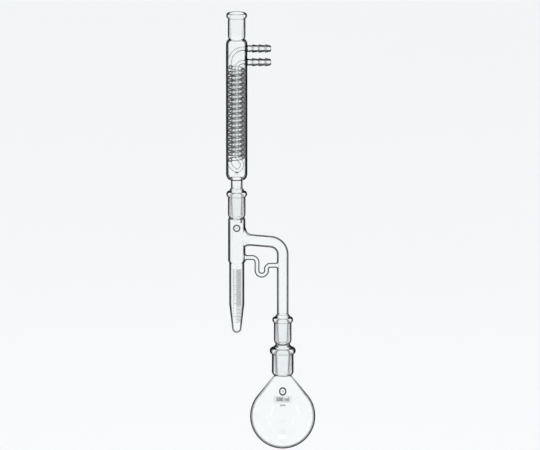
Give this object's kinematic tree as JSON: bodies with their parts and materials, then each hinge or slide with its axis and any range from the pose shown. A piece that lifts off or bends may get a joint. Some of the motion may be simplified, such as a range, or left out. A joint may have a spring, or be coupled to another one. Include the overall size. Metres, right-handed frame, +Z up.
{
  "type": "distillation receiver apparatus",
  "caption": "Glass reflux set: pear-shaped flask, taper adapter, graduated receiver with vapour arm and return trap, and an upright coil condenser with hose nozzles.",
  "frame": {"origin": "on the flask's axis, halfway up its neck, where a stand's clamp holds the apparatus", "axes": "+Z upwards along the flask's axis, +X the way the hose nozzles point at rest, the receiver and condenser on the -X side"},
  "size_m": [0.142, 0.104, 0.7056],
  "materials": {
    "glass": "clear borosilicate, ground taper zones",
    "enamel": "fired enamel print"
  },
  "bodies": {
    "flask": {"flask_socket": "glass", "flask_bulb": "glass", "write_on_patch": "enamel"},
    "adapter": {"adapter_socket": "glass", "adapter_cone": "glass"},
    "receiver": {"vapour_cone": "glass", "vapour_arm": "glass", "return_tube": "glass", "receiver_chamber": "glass", "receiver_socket": "glass", "graduated_tube": "glass", "graduation_scale": "enamel"},
    "condenser": {"condenser_cone": "glass", "condenser_jacket": "glass", "condenser_socket": "glass", "water_inlet_nozzle": "glass", "water_outlet_nozzle": "glass", "cooling_coil": "glass", "coil_return_tube": "glass", "coil_drip_bend": "glass", "drip_point": "glass"}
  },
  "joints": [
    {"name": "adapter_lift", "type": "slide", "parent": "flask", "child": "adapter", "axis": [0, 0, 1], "range_m": [0, 0.055]},
    {"name": "receiver_turn", "type": "hinge", "parent": "adapter", "child": "receiver", "pos_m": [0, 0, 0.05095], "axis": [0, 0, 1], "continuous": true},
    {"name": "condenser_lift", "type": "slide", "parent": "receiver", "child": "condenser", "axis": [0, 0, 1], "range_m": [0, 0.065]}
  ]
}
